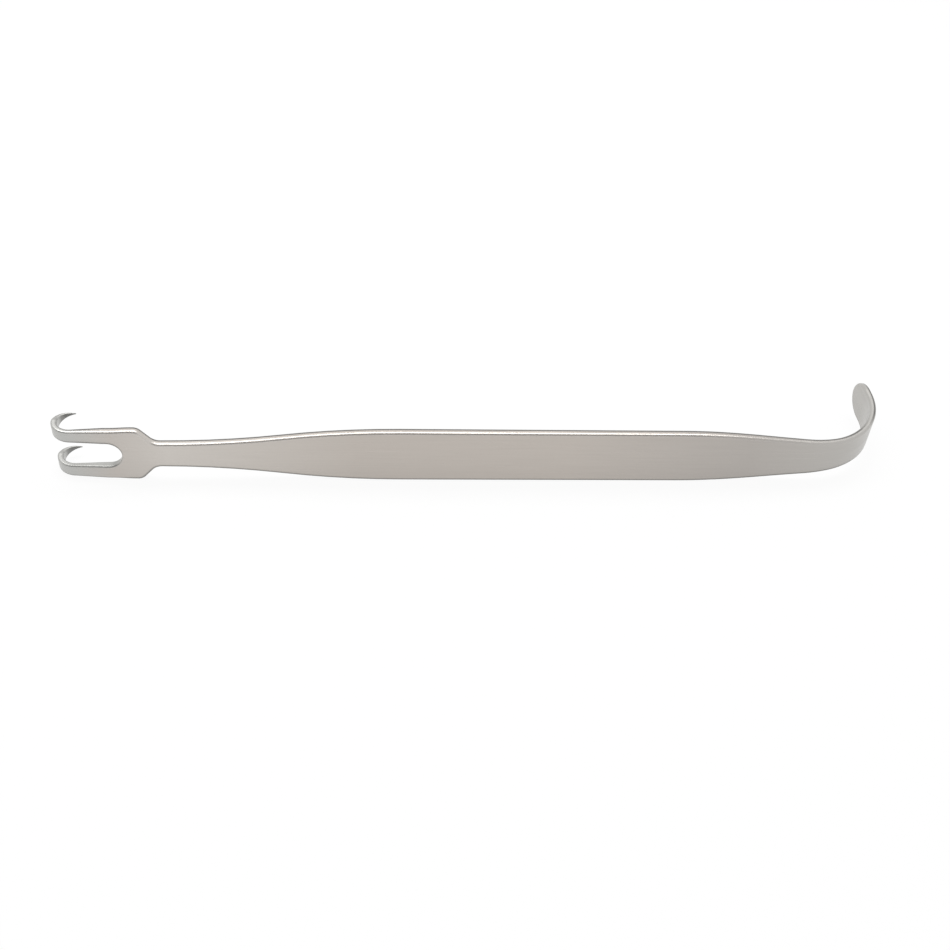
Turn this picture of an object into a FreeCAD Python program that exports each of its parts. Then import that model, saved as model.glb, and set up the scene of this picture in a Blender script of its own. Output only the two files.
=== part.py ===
import FreeCAD, Part
import math
import os

from FreeCAD import Vector

# Double-ended hand retractor, one piece of stainless steel strip.
# Two sharp hooks are at the -X end and a tongue-shaped blade is at the +X end.
# The strip lies on its long edge: X runs along the handle, Z is across its width,
# the broad outer face looks to -Y, and the hooks and the blade turn towards +Y.

# Overall sizes
overall_length = 150.0
blade_depth = 21.0
stock_thickness = 1.5
edge_radius = 0.3

# Handle
handle_width = 10.9
neck_width = 5.0
neck_taper_length = 41.3

# Fork plate
fork_width = 10.8
fork_straight = 0.35
fork_flare_length = 4.75
shoulder_slope = 48.0
shoulder_outer_radius = 1.7
shoulder_inner_radius = 2.2

# Prongs, which end in the hooks
slot_width = 5.1
prong_root_width = 2.65
prong_length = 5.5
hook_width = 2.3
hook_spacing = 7.6
hook_thickness = 1.0
hook_radius = 3.0
hook_turn = 182.0
hook_point_size = 0.12
# Corner radius of the hook and of its point as a share of the thickness: 0.5 is a circle
hook_corner = 0.25
point_corner = 0.45
# Share of the turn over which the hook keeps its width before the point
hook_full_share = 0.5
hook_stations = 16

# Blade
blade_taper_run = 23.1
blade_waist_width = 6.6
blade_waist_distance = 33.3
bend_entry_radius = 22.5
bend_entry_turn = 11.7
blade_turn = 90.0
tongue_width = 6.9
tongue_run = 1.2
tongue_length = 4.75
tongue_thickness = 1.15
# Rim radius of the tongue as a share of its thickness: 0.5 is a full round
tongue_rim = 0.4
blade_stations = 18

prong_root_offset = (slot_width + prong_root_width) / 2
prong_root_edge = prong_root_offset + prong_root_width / 2
half_stock = stock_thickness / 2
flat = 1e-6
hook_angle = math.radians(hook_turn)


def ease(share):
    """Rise smoothly from 0 to 1, level at both ends."""
    share = min(max(share, 0.0), 1.0)
    return (1 - math.cos(math.pi * share)) / 2


def between(first, last, share):
    return first + (last - first) * share


def pointing(angle):
    """Share of the taper from the full hook to its sharp point, at an angle round the hook."""
    return max((angle / hook_angle - hook_full_share) / (1 - hook_full_share), 0.0)


# Places along the handle, counted from the middle of the overall length
hook_end_thickness = between(hook_thickness, hook_point_size, pointing(math.pi / 2))
hook_centre_x = -overall_length / 2 + hook_radius + hook_end_thickness / 2
fork_end_x = hook_centre_x + prong_length
slot_centre_x = fork_end_x + fork_straight
fork_full_x = slot_centre_x + fork_flare_length

# The bend's radius is what is left of the depth beside the entry curve and the straight tongue
entry_turn = math.radians(bend_entry_turn)
full_turn = math.radians(blade_turn)
entry_length = bend_entry_radius * entry_turn
entry_rise = bend_entry_radius * (1 - math.cos(entry_turn))
entry_reach = bend_entry_radius * math.sin(entry_turn)
tongue_rise = (tongue_run + tongue_length) * math.sin(full_turn)
bend_rise = blade_depth - half_stock - tongue_rise - entry_rise
bend_radius = bend_rise / (math.cos(entry_turn) - math.cos(full_turn))
bend_reach = bend_radius * (math.sin(full_turn) - math.sin(entry_turn))
bend_length = bend_radius * (full_turn - entry_turn)
bend_start_x = overall_length / 2 - tongue_thickness / 2 - bend_reach - entry_reach
blade_start_x = bend_start_x - blade_taper_run
blade_length = blade_taper_run + entry_length + bend_length + tongue_run


def rounded_section(centre, across, width, thickness, radius):
    """Rectangle with quarter-round corners: thickness along across, width along Z."""
    up = Vector(0, 0, 1)
    quarters = []
    for side, level in [(1, 1), (-1, 1), (-1, -1), (1, -1)]:
        corner = centre + across * (side * thickness / 2) + up * (level * width / 2)
        on_face = corner - up * (level * radius)
        on_edge = corner - across * (side * radius)
        start, end = (on_face, on_edge) if side == level else (on_edge, on_face)
        quarters.append((start, corner, end))
    edges = []
    for index, quarter in enumerate(quarters):
        following = quarters[(index + 1) % len(quarters)]
        round_corner = Part.BezierCurve()
        round_corner.setPoles(quarter)
        round_corner.setWeight(2, math.sqrt(0.5))
        edges.append(round_corner.toShape())
        edges.append(Part.LineSegment(quarter[2], following[0]).toShape())
    return Part.Wire(edges)


def turn_arc(start, radius, first_heading, last_heading):
    """Arc in the XZ plane between two headings. A positive radius turns it towards +Z."""
    def from_centre(heading):
        return Vector(math.sin(heading), 0, -math.cos(heading)) * radius

    centre = start - from_centre(first_heading)
    middle = centre + from_centre((first_heading + last_heading) / 2)
    end = centre + from_centre(last_heading)
    return Part.Arc(start, middle, end).toShape(), end


def s_curve(start, end):
    """S-shaped pair of equal arcs that leaves and arrives parallel to the handle."""
    half_length = (end.x - start.x) / 2
    heading = 2 * math.atan2((end.z - start.z) / 2, half_length)
    if abs(heading) < flat:
        return [Part.LineSegment(start, end).toShape()]
    radius = half_length / math.sin(heading)
    first, middle = turn_arc(start, radius, 0, heading)
    second, _ = turn_arc(middle, -radius, heading, 0)
    return [first, second]


def upper_outline():
    """Edges of the plate's upper side, from the prong's end to the start of the blade."""
    slope = math.radians(shoulder_slope)
    neck_z = neck_width / 2
    fork_z = fork_width / 2
    handle_z = handle_width / 2

    prong_end = Vector(fork_end_x, 0, prong_root_edge)
    flare_start = Vector(slot_centre_x, 0, prong_root_edge)
    flare_end = Vector(fork_full_x, 0, fork_z)
    outer_arc, slope_start = turn_arc(flare_end, -shoulder_outer_radius, 0, -slope)

    inner_drop = shoulder_inner_radius * (1 - math.cos(slope))
    slope_drop = slope_start.z - neck_z - inner_drop
    slope_end = slope_start + Vector(slope_drop / math.tan(slope), 0, -slope_drop)
    inner_arc, neck_start = turn_arc(slope_end, shoulder_inner_radius, -slope, 0)

    handle_start = Vector(neck_start.x + neck_taper_length, 0, handle_z)
    handle_end = Vector(blade_start_x, 0, handle_z)
    return [
        Part.LineSegment(prong_end, flare_start).toShape(),
        *s_curve(flare_start, flare_end),
        outer_arc,
        Part.LineSegment(slope_start, slope_end).toShape(),
        inner_arc,
        *s_curve(neck_start, handle_start),
        Part.LineSegment(handle_start, handle_end).toShape(),
    ]


def make_plate():
    """Fork plate, neck and handle: one outline with the slot, cut from flat stock."""
    upper = upper_outline()
    lower = [edge.mirror(Vector(0, 0, 0), Vector(0, 0, 1)) for edge in upper]
    slot_z = slot_width / 2
    slot_top = Vector(slot_centre_x, 0, slot_z)
    slot_bottom = Vector(slot_centre_x, 0, -slot_z)
    crotch = Vector(slot_centre_x + slot_z, 0, 0)
    top_corner = Vector(fork_end_x, 0, slot_z)
    bottom_corner = Vector(fork_end_x, 0, -slot_z)
    top_end = Vector(fork_end_x, 0, prong_root_edge)
    bottom_end = Vector(fork_end_x, 0, -prong_root_edge)
    blade_top = Vector(blade_start_x, 0, handle_width / 2)
    blade_bottom = Vector(blade_start_x, 0, -handle_width / 2)
    rest = [
        Part.LineSegment(top_end, top_corner).toShape(),
        Part.LineSegment(top_corner, slot_top).toShape(),
        Part.Arc(slot_top, crotch, slot_bottom).toShape(),
        Part.LineSegment(slot_bottom, bottom_corner).toShape(),
        Part.LineSegment(bottom_corner, bottom_end).toShape(),
        Part.LineSegment(blade_bottom, blade_top).toShape(),
    ]
    wire = Part.Wire(Part.__sortEdges__(upper + lower + rest))
    plate = Part.Face(wire).extrude(Vector(0, stock_thickness, 0))
    rims = [
        edge for edge in plate.Edges
        if edge.BoundBox.YLength < flat and edge.BoundBox.XLength > flat
    ]
    return plate.makeFillet(edge_radius, rims)


def make_prong(side):
    """Straight prong, ground thinner and narrower from the plate to its hook."""
    across = Vector(0, 1, 0)
    root = Vector(fork_end_x, half_stock, side * prong_root_offset)
    end = Vector(hook_centre_x, half_stock, side * hook_spacing / 2)
    sections = [
        rounded_section(root, across, prong_root_width, stock_thickness, edge_radius),
        rounded_section(end, across, hook_width, hook_thickness, hook_corner * hook_thickness),
    ]
    return Part.makeLoft(sections, True, True)


def make_hook(side):
    """Hook from the prong's end round to its sharp point."""
    sections = []
    for station in range(hook_stations + 1):
        angle = hook_angle * station / hook_stations
        width = between(hook_width, hook_point_size, pointing(angle))
        thickness = between(hook_thickness, hook_point_size, pointing(angle))
        radius = between(hook_corner, point_corner, angle / hook_angle) * min(width, thickness)
        x = hook_centre_x - hook_radius * math.sin(angle)
        y = half_stock + hook_radius * (1 - math.cos(angle))
        centre = Vector(x, y, side * hook_spacing / 2)
        across = Vector(math.sin(angle), math.cos(angle), 0)
        sections.append(rounded_section(centre, across, width, thickness, radius))
    return Part.makeLoft(sections, True, False)


def blade_place(distance):
    """Middle of the blade and its heading, at a distance along it from the handle."""
    straight = min(distance, blade_taper_run)
    entry = min(distance - straight, entry_length)
    bend = min(distance - straight - entry, bend_length)
    run = distance - straight - entry - bend
    entry_heading = entry / bend_entry_radius
    heading = entry_heading + bend / bend_radius
    x = blade_start_x + straight
    x += bend_entry_radius * math.sin(entry_heading)
    x += bend_radius * (math.sin(heading) - math.sin(entry_heading))
    y = half_stock + bend_entry_radius * (1 - math.cos(entry_heading))
    y += bend_radius * (math.cos(entry_heading) - math.cos(heading))
    return Vector(x, y, 0) + Vector(math.cos(heading), math.sin(heading), 0) * run, heading


def blade_width(distance):
    """Width of the blade: down from the handle to its waist, then up to its tongue."""
    past_waist = distance - blade_waist_distance
    if past_waist < 0:
        return between(handle_width, blade_waist_width, ease(distance / blade_waist_distance))
    tongue_distance = blade_length - blade_waist_distance
    return between(blade_waist_width, tongue_width, ease(past_waist / tongue_distance))


def make_blade():
    """Blade from the handle round its bend, up to its straight tongue."""
    sections = []
    for station in range(blade_stations + 1):
        distance = blade_length * station / blade_stations
        centre, heading = blade_place(distance)
        across = Vector(-math.sin(heading), math.cos(heading), 0)
        thinned = ease(distance / blade_length)
        thickness = between(stock_thickness, tongue_thickness, thinned)
        width = blade_width(distance)
        radius = between(edge_radius, tongue_rim * tongue_thickness, thinned)
        sections.append(rounded_section(centre, across, width, thickness, radius))
    return Part.makeLoft(sections, True, False)


def make_tongue():
    """Flat end of the blade: half an ellipse with a rounded rim."""
    half_width = tongue_width / 2
    long_axis = max(tongue_length, half_width)
    short_axis = min(tongue_length, half_width)
    rim = Part.Ellipse(Vector(0, 0, 0), long_axis, short_axis).toShape()
    if tongue_length < half_width:
        rim.rotate(Vector(0, 0, 0), Vector(0, 0, 1), 90)
    disc = Part.Face(Part.Wire(rim)).extrude(Vector(0, 0, tongue_thickness))
    rims = [edge for edge in disc.Edges if edge.BoundBox.ZLength < flat]
    disc = disc.makeFillet(tongue_rim * tongue_thickness, rims)
    corner = Vector(0, -tongue_width, 0)
    tongue = disc.common(Part.makeBox(tongue_length * 2, tongue_width * 2, tongue_thickness, corner))

    root, heading = blade_place(blade_length)
    tongue.translate(Vector(0, 0, -tongue_thickness / 2))
    tongue.rotate(Vector(0, 0, 0), Vector(1, 0, 0), -90)
    tongue.rotate(Vector(0, 0, 0), Vector(0, 0, 1), math.degrees(heading))
    tongue.translate(root)
    return tongue


def make_retractor():
    """All stretches of the strip fused, then set on the surface it lies on."""
    prongs = [make_prong(1), make_prong(-1), make_hook(1), make_hook(-1)]
    strip = make_plate().fuse(prongs + [make_blade(), make_tongue()])
    strip.translate(Vector(0, -blade_depth / 2, max(handle_width, fork_width) / 2))
    return strip.Solids[0]


os.makedirs("parts", exist_ok=True)
make_retractor().exportStep("parts/retractor.step")
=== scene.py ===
"""Looks of a double-ended handheld skin retractor: one satin stainless steel strip, with two sharp
hooks at its left end and a turned, tongue-tipped blade at its right end, lying on its long edge."""

import math

import bpy
from mathutils import Matrix, Vector

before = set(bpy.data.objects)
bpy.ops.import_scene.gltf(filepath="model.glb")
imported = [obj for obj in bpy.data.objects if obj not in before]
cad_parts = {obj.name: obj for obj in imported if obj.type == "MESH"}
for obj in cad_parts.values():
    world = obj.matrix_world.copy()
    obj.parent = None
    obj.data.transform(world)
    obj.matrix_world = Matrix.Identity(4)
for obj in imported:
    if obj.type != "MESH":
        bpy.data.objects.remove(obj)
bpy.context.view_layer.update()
bpy.ops.object.select_all(action="DESELECT")


# Camera
# The photograph looks down on the outer face of the retractor, a little from its left,
# with the picture turned so far that the handle lies level in it.
camera_elevation = math.radians(42)
camera_swing = math.radians(-7.165)
camera_roll = math.radians(5)
camera_distance = 0.218122
camera_target = Vector((-0.001611, -0.0105, 0.0013))
sensor_width = 36
picture_width = 950
focal_length_in_pixels = 1214.317
nearest_seen = 0.01

towards_camera = Vector((
    math.sin(camera_swing) * math.cos(camera_elevation),
    -math.cos(camera_swing) * math.cos(camera_elevation),
    math.sin(camera_elevation),
))
level_right = Vector((0, 0, 1)).cross(towards_camera).normalized()
level_up = towards_camera.cross(level_right)
picture_right = math.cos(camera_roll) * level_right + math.sin(camera_roll) * level_up
picture_up = towards_camera.cross(picture_right)
camera_place = Matrix((picture_right, picture_up, towards_camera)).transposed().to_4x4()
camera_place.translation = camera_target + camera_distance * towards_camera

bpy.ops.object.camera_add()
camera = bpy.context.object
camera.name = "camera"
camera.matrix_world = camera_place
camera.data.sensor_width = sensor_width
camera.data.lens = focal_length_in_pixels * sensor_width / picture_width
camera.data.clip_start = nearest_seen
bpy.context.scene.camera = camera


# Retractor
# One strip of martensitic stainless steel, ground flat, tumbled until its edges are round, and
# then brushed along its length. The hooks and the blade are forged and bent from the same strip.
def linear(hex_colour):
    """The linear colour of an sRGB hex value, as a shader's socket takes it."""
    values = [int(hex_colour[i : i + 2], 16) / 255 for i in (1, 3, 5)]
    return [v / 12.92 if v <= 0.04045 else ((v + 0.055) / 1.055) ** 2.4 for v in values] + [1]


def add_node(tree, kind, settings=None, **inputs):
    """Adds a node of that kind. An input is a value, or the output socket that it is linked to."""
    node = tree.nodes.new(kind)
    for name, value in (settings or {}).items():
        setattr(node, name, value)
    for name, value in inputs.items():
        socket = node.inputs[int(name[3:])] if name.startswith("in_") else node.inputs[name.replace("_", " ")]
        if isinstance(value, bpy.types.NodeSocket):
            tree.links.new(value, socket)
        else:
            socket.default_value = value
    return node


def new_material(name):
    """An empty material with its node tree."""
    material = bpy.data.materials.new(name)
    material.use_nodes = True
    material.node_tree.nodes.clear()
    return material, material.node_tree


# Brushed martensitic stainless steel. The grinding belt leaves fine lines along the strip, so the
# broad faces read as a soft warm grey with faint streaks. The tumbled edges stay smoother and carry the
# one bright line, brightened by a paler painted edge colour, with a painted darker line on the far side of
# it.
brushed_steel, tree = new_material("stainless_steel_brushed_lengthwise")
mix_colours = {"data_type": "RGBA"}
multiply_colours = {"data_type": "RGBA", "blend_type": "MULTIPLY"}
multiply = {"operation": "MULTIPLY"}
larger = {"operation": "MAXIMUM"}
smaller = {"operation": "MINIMUM"}
place = add_node(tree, "ShaderNodeTexCoord").outputs["Object"]
along, across, up = add_node(tree, "ShaderNodeSeparateXYZ", Vector=place).outputs

# Real belt lines lie about 0.1 mm apart. They are drawn 0.3 mm apart, so that a render shows them.
line_spacing = 0.0003
line_length = 0.012
line_depth = 0.000004
line_detail = 3.0
drawn_out = add_node(tree, "ShaderNodeMapping", Vector=place,
                     Scale=(1 / line_length, 1 / line_length, 1 / line_spacing)).outputs[0]
lines = add_node(tree, "ShaderNodeTexNoise", Vector=drawn_out, Scale=1.0, Detail=line_detail).outputs[0]

# Tumbling rounds the edges more than the solid's small fillets do. The roundness is full along the
# handle, less at the tongue, and nearly none on the slim hooks and on the slot's lower wall.
tumbled_radius = 0.00075
least_share = 0.15
share_at_tongue = 0.6
hook_bend_x = -0.0745
prong_x = -0.07
slot_root_x = -0.0645
fork_root_x = -0.062
slot_lower_wall_z = 0.006
slot_upper_wall_z = 0.008
blade_bend_x = 0.068
tongue_x = 0.073
rays_at_edges = 16
off_hooks = add_node(tree, "ShaderNodeMapRange", Value=along, From_Min=hook_bend_x, From_Max=prong_x,
                     To_Min=least_share).outputs[0]
off_tongue = add_node(tree, "ShaderNodeMapRange", Value=along, From_Min=blade_bend_x,
                      From_Max=tongue_x, To_Min=1.0, To_Max=share_at_tongue).outputs[0]
past_slot = add_node(tree, "ShaderNodeMapRange", Value=along, From_Min=slot_root_x,
                     From_Max=fork_root_x, To_Min=least_share).outputs[0]
above_slot = add_node(tree, "ShaderNodeMapRange", Value=up, From_Min=slot_lower_wall_z,
                      From_Max=slot_upper_wall_z, To_Min=least_share).outputs[0]
off_slot = add_node(tree, "ShaderNodeMath", larger, in_0=past_slot, in_1=above_slot).outputs[0]
off_ends = add_node(tree, "ShaderNodeMath", smaller, in_0=off_hooks, in_1=off_tongue).outputs[0]
share = add_node(tree, "ShaderNodeMath", smaller, in_0=off_ends, in_1=off_slot).outputs[0]
radius = add_node(tree, "ShaderNodeMath", multiply, in_0=share, in_1=tumbled_radius).outputs[0]
rounded = add_node(tree, "ShaderNodeBevel", {"samples": rays_at_edges}, Radius=radius).outputs[0]
turned_right, turned_back, turned_up = add_node(tree, "ShaderNodeSeparateXYZ", Vector=rounded).outputs
grooves = add_node(tree, "ShaderNodeBump", Normal=rounded, Height=lines, Distance=line_depth,
                   Strength=1.0).outputs[0]

# How near an edge a spot lies, by how much steel there is below it. The middle of a broad face
# has a full share of it, and the edge itself the least.
edge_reach = 0.0008
steel_at_edge = 0.6
steel_off_edge = 0.82
steel_beside_edge = 0.89
steel_at_face = 0.96
steel_below = add_node(tree, "ShaderNodeAmbientOcclusion",
                       {"inside": True, "only_local": True, "samples": rays_at_edges},
                       Distance=edge_reach).outputs["AO"]
edge = add_node(tree, "ShaderNodeMapRange", Value=steel_below, From_Min=steel_off_edge,
                From_Max=steel_at_edge).outputs[0]
near_edge = add_node(tree, "ShaderNodeMapRange", Value=steel_below, From_Min=steel_at_face,
                     From_Max=steel_beside_edge).outputs[0]

# Painted light and shade along the strip: the colour is painted palest at the fork and greyest at the
# blade's root, where the light falls off, and coolest on the hooks. The places are shares of the whole
# length.
half_length = 0.075
hooks_at = 0.02
prongs_at = 0.07
fork_at = 0.13
handle_from = 0.35
handle_to = 0.6
blade_root_at = 0.82
tongue_at = 0.97
share_of_length = add_node(tree, "ShaderNodeMapRange", Value=along, From_Min=-half_length,
                           From_Max=half_length).outputs[0]
painted_light_drift = add_node(tree, "ShaderNodeValToRGB", Fac=share_of_length)
painted_light_shades = painted_light_drift.color_ramp.elements
painted_light_shades[0].position = hooks_at
painted_light_shades[0].color = linear("#BABAB7")
painted_light_shades[1].position = tongue_at
painted_light_shades[1].color = linear("#B7B5B1")
painted_light_shades.new(prongs_at).color = linear("#C0BAB4")
painted_light_shades.new(fork_at).color = linear("#C9C4BE")
painted_light_shades.new(handle_from).color = linear("#BDB6AF")
painted_light_shades.new(handle_to).color = linear("#BDB6AF")
painted_light_shades.new(blade_root_at).color = linear("#B1ACA7")
streak_tone = 0.93
streaked = add_node(tree, "ShaderNodeMix", multiply_colours, in_0=lines, in_6=painted_light_drift.outputs[0],
                    in_7=(streak_tone, streak_tone, streak_tone, 1)).outputs[2]

# Painted highlight: the tumbled edges are painted paler than the brushed faces, which brightens the
# bright line they mirror, and painted grey on the hooks and at the slot, which dims it there.
dimmed_hook_edge_colour = "#AFAFAC"
highlight_edge_colour = "#C6C4C1"
painted_edge_highlight = add_node(tree, "ShaderNodeMix", mix_colours, in_0=share, in_6=linear(dimmed_hook_edge_colour),
                     in_7=linear(highlight_edge_colour)).outputs[2]
with_edges = add_node(tree, "ShaderNodeMix", mix_colours, in_0=edge, in_6=streaked,
                      in_7=painted_edge_highlight).outputs[2]

# Painted shade: the slot's lower wall faces up to the soft box and is painted a duller grey,
# which dims the soft box that it mirrors.
wall_shade_colour = "#A3A3A0"
slightly_up = 0.1
well_up = 0.5
wall_shade_from_x = -0.0735
wall_shade_fully_x = -0.0705
in_slot = add_node(tree, "ShaderNodeMapRange", Value=off_slot, From_Min=1.0, From_Max=least_share).outputs[0]
faces_up = add_node(tree, "ShaderNodeMapRange", Value=turned_up, From_Min=slightly_up,
                    From_Max=well_up).outputs[0]
on_prong = add_node(tree, "ShaderNodeMapRange", Value=along, From_Min=wall_shade_from_x,
                    From_Max=wall_shade_fully_x).outputs[0]
painted_wall_shade = add_node(tree, "ShaderNodeMath", multiply, in_0=in_slot, in_1=faces_up).outputs[0]
painted_wall_shade = add_node(tree, "ShaderNodeMath", multiply, in_0=painted_wall_shade, in_1=on_prong).outputs[0]
# The painted wall shade goes into the colour here.
with_wall = add_node(tree, "ShaderNodeMix", mix_colours, in_0=painted_wall_shade, in_6=with_edges,
                     in_7=linear(wall_shade_colour)).outputs[2]

# Painted shade: the lower and far sides of the edges, and the outer side of the tongue's rim, are painted
# dark grey, in place of the dark surroundings and the table's shadow that they would mirror. A side turned as
# far as a broad face keeps the brushed colour.
edge_shade_colour = "#6E6C69"
shade_below_share = 0.85
slightly_down = -0.02
well_down = -0.25
slightly_back = 0.01
well_back = 0.1
well_right = 0.2
still_edge = 0.45
broad_face = 0.75
far_side_fades_x = 0.069
far_side_ends_x = 0.0725
rim_from_x = 0.0715
rim_fully_x = 0.0735
below = add_node(tree, "ShaderNodeMapRange", Value=turned_up, From_Min=slightly_down,
                 From_Max=well_down, To_Max=shade_below_share).outputs[0]
behind = add_node(tree, "ShaderNodeMapRange", Value=turned_back, From_Min=slightly_back,
                  From_Max=well_back).outputs[0]
off_back_face = add_node(tree, "ShaderNodeMapRange", Value=turned_back, From_Min=broad_face,
                         From_Max=still_edge).outputs[0]
before_tongue = add_node(tree, "ShaderNodeMapRange", Value=along, From_Min=far_side_ends_x,
                         From_Max=far_side_fades_x).outputs[0]
behind = add_node(tree, "ShaderNodeMath", multiply, in_0=behind, in_1=off_back_face).outputs[0]
behind = add_node(tree, "ShaderNodeMath", multiply, in_0=behind, in_1=before_tongue).outputs[0]
behind = add_node(tree, "ShaderNodeMath", multiply, in_0=behind, in_1=share).outputs[0]
outward = add_node(tree, "ShaderNodeMapRange", Value=turned_right, From_Max=well_right).outputs[0]
off_outer_face = add_node(tree, "ShaderNodeMapRange", Value=turned_right, From_Min=broad_face,
                          From_Max=still_edge).outputs[0]
on_rim = add_node(tree, "ShaderNodeMapRange", Value=along, From_Min=rim_from_x,
                  From_Max=rim_fully_x).outputs[0]
outward = add_node(tree, "ShaderNodeMath", multiply, in_0=outward, in_1=off_outer_face).outputs[0]
outward = add_node(tree, "ShaderNodeMath", multiply, in_0=outward, in_1=on_rim).outputs[0]
painted_edge_shade = add_node(tree, "ShaderNodeMath", larger, in_0=below, in_1=behind).outputs[0]
painted_edge_shade = add_node(tree, "ShaderNodeMath", larger, in_0=painted_edge_shade, in_1=outward).outputs[0]
painted_edge_shade = add_node(tree, "ShaderNodeMath", multiply, in_0=painted_edge_shade, in_1=near_edge).outputs[0]
# The painted dark edge shade goes into the colour here.
with_painted_edge_shade = add_node(tree, "ShaderNodeMix", mix_colours, in_0=painted_edge_shade, in_6=with_wall,
                          in_7=linear(edge_shade_colour)).outputs[2]

# Painted shade: the hollow of each hook, near its point, is painted dark grey, where it mirrors the
# shaded table and the other prong.
hook_hollow_shade_colour = "#828280"
slightly_forward = -0.1
well_forward = -0.5
hollow_from_y = -0.0065
hollow_fully_y = -0.0045
handle_side_x = -0.055
hook_side_x = -0.06
normal = add_node(tree, "ShaderNodeTexCoord").outputs["Normal"]
facing_back = add_node(tree, "ShaderNodeSeparateXYZ", Vector=normal).outputs["Y"]
looks_forward = add_node(tree, "ShaderNodeMapRange", Value=facing_back, From_Min=slightly_forward,
                         From_Max=well_forward).outputs[0]
at_point = add_node(tree, "ShaderNodeMapRange", Value=across, From_Min=hollow_from_y,
                    From_Max=hollow_fully_y).outputs[0]
on_hooks = add_node(tree, "ShaderNodeMapRange", Value=along, From_Min=handle_side_x,
                    From_Max=hook_side_x).outputs[0]
hollow = add_node(tree, "ShaderNodeMath", multiply, in_0=looks_forward, in_1=at_point).outputs[0]
hollow = add_node(tree, "ShaderNodeMath", multiply, in_0=hollow, in_1=on_hooks).outputs[0]
# The painted hollow shade goes into the colour here.
coloured = add_node(tree, "ShaderNodeMix", mix_colours, in_0=hollow, in_6=with_painted_edge_shade,
                    in_7=linear(hook_hollow_shade_colour)).outputs[2]

# The brushed faces are satin, rougher in the deeper lines. The handle's tumbled edges are smooth,
# and the edges of the hooks and of the slot are dull.
shallow_line = 0.3
deep_line = 0.7
satin_roughness = 0.27
deep_line_roughness = 0.36
dull_edge_roughness = 0.5
tumbled_edge_roughness = 0.2
satin = add_node(tree, "ShaderNodeMapRange", Value=lines, From_Min=shallow_line, From_Max=deep_line,
                 To_Min=satin_roughness, To_Max=deep_line_roughness).outputs[0]
polish = add_node(tree, "ShaderNodeMapRange", Value=share, From_Min=least_share,
                  To_Min=dull_edge_roughness, To_Max=tumbled_edge_roughness).outputs[0]
finish = add_node(tree, "ShaderNodeMix", {"data_type": "FLOAT"}, in_0=edge, in_2=satin,
                  in_3=polish).outputs[0]
shader = add_node(tree, "ShaderNodeBsdfPrincipled", Base_Color=coloured, Metallic=1.0,
                  Roughness=finish, Normal=grooves)
add_node(tree, "ShaderNodeOutputMaterial", Surface=shader.outputs[0])

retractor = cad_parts["retractor"]
retractor.data.materials.clear()
retractor.data.materials.append(brushed_steel)


# Table
# A sheet of white board under the retractor, which runs on out of sight in every direction.
# It renders white to the camera and in the steel, and keeps the retractor's shadow.
board_half_width = 2.0
board_colour = "#FAFAFA"
white_to_camera = 0.93
white_in_steel = 0.85
bpy.ops.mesh.primitive_plane_add(size=2 * board_half_width)
board = bpy.context.object
board.name = "white_board"
white_board, tree = new_material("paper_board_matt_white")
path = add_node(tree, "ShaderNodeLightPath").outputs
seen = add_node(tree, "ShaderNodeMath", larger, in_0=path["Is Camera Ray"], in_1=path["Is Glossy Ray"])
seen = add_node(tree, "ShaderNodeMath", larger, in_0=seen.outputs[0], in_1=path["Is Transmission Ray"])
# The share of plain white is a little higher for the camera, which keeps the shadow faint, and
# lower in the steel, which mirrors the shadow as a darker foot.
whiteness = add_node(tree, "ShaderNodeMapRange", Value=path["Is Camera Ray"], To_Min=white_in_steel,
                     To_Max=white_to_camera)
paper = add_node(tree, "ShaderNodeBsdfDiffuse", Color=linear(board_colour))
white = add_node(tree, "ShaderNodeEmission", Color=(1, 1, 1, 1), Strength=1.0)
whitened = add_node(tree, "ShaderNodeMixShader", in_0=whiteness.outputs[0], in_1=paper.outputs[0],
                    in_2=white.outputs[0])
shown = add_node(tree, "ShaderNodeMixShader", in_0=seen.outputs[0], in_1=paper.outputs[0],
                 in_2=whitened.outputs[0])
add_node(tree, "ShaderNodeOutputMaterial", Surface=shown.outputs[0])
white_board.cycles.emission_sampling = "NONE"
board.data.materials.append(white_board)


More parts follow.
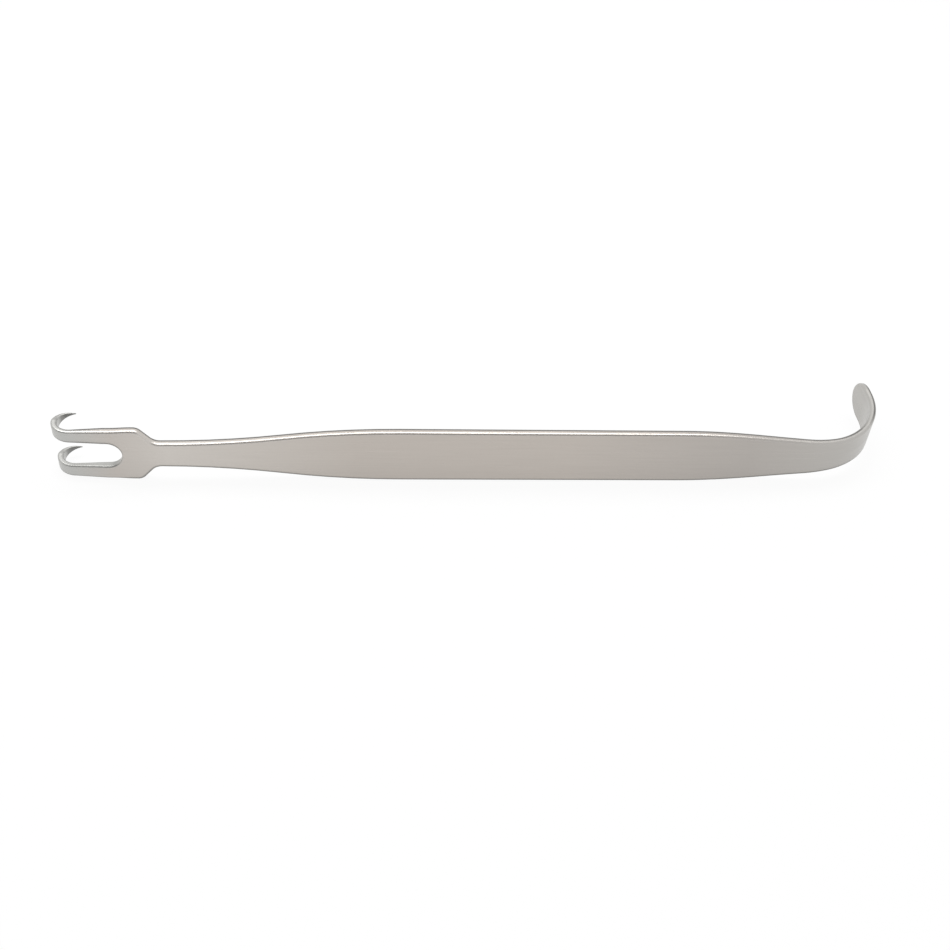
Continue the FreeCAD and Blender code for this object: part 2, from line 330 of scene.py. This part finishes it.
# Soft box
# A long soft box hangs over the far side of the table and is tipped towards the retractor.
# The round upper edge mirrors it as one bright line, and it throws the faint shadow forwards.
soft_box_length = 0.64
soft_box_width = 0.2
soft_box_radiance = 4.5
soft_box_centre = Vector((-0.065, 0.17, 0.47))
soft_box_tip = math.atan2(-soft_box_centre.y, soft_box_centre.z)
bpy.ops.object.light_add(type="AREA", location=soft_box_centre, rotation=(soft_box_tip, 0, 0))
soft_box = bpy.context.object
soft_box.name = "soft_box"
soft_box.data.shape = "RECTANGLE"
soft_box.data.size = soft_box_length
soft_box.data.size_y = soft_box_width
soft_box.data.energy = soft_box_radiance * math.pi * soft_box_length * soft_box_width


# Curtain
# A grey cotton curtain hangs aslant over the near side of the table, above the camera. Only the
# steel mirrors it, as the darker line between the bright edge and the broad face.
curtain_colour = "#BCBCBC"
curtain_width = 1.4
curtain_foot = Vector((-0.5, -0.45, 0.08))
curtain_rise = Vector((0, 0.35, 0.55))
bpy.ops.mesh.primitive_plane_add(size=1.0)
curtain = bpy.context.object
curtain.name = "grey_curtain"
for point in curtain.data.vertices:
    share_of_height = point.co.y + 0.5
    sideways = Vector((curtain_width * point.co.x, 0, 0))
    point.co = curtain_foot + sideways + share_of_height * curtain_rise
grey_cotton, tree = new_material("cotton_cloth_matt_grey")
cloth = add_node(tree, "ShaderNodeBsdfDiffuse", Color=linear(curtain_colour))
add_node(tree, "ShaderNodeOutputMaterial", Surface=cloth.outputs[0])
curtain.data.materials.append(grey_cotton)
curtain.visible_camera = False
curtain.visible_diffuse = False
curtain.visible_shadow = False
curtain.visible_transmission = False


# Walls
# Pale walls all round fill in the rest of the light. They are white to the camera and in the steel.
fill_strength = 0.62
walls = bpy.data.worlds.new("pale_walls")
bpy.context.scene.world = walls
walls.use_nodes = True
walls.cycles.sampling_method = "NONE"
tree = walls.node_tree
tree.nodes.clear()
path = add_node(tree, "ShaderNodeLightPath").outputs
seen = add_node(tree, "ShaderNodeMath", larger, in_0=path["Is Camera Ray"], in_1=path["Is Glossy Ray"])
seen = add_node(tree, "ShaderNodeMath", larger, in_0=seen.outputs[0], in_1=path["Is Transmission Ray"])
fill = add_node(tree, "ShaderNodeBackground", Color=(1, 1, 1, 1), Strength=fill_strength)
white = add_node(tree, "ShaderNodeBackground", Color=(1, 1, 1, 1), Strength=1.0)
shown = add_node(tree, "ShaderNodeMixShader", in_0=seen.outputs[0], in_1=fill.outputs[0],
                 in_2=white.outputs[0])
add_node(tree, "ShaderNodeOutputWorld", Surface=shown.outputs[0])

bpy.context.scene.view_settings.view_transform = "Standard"
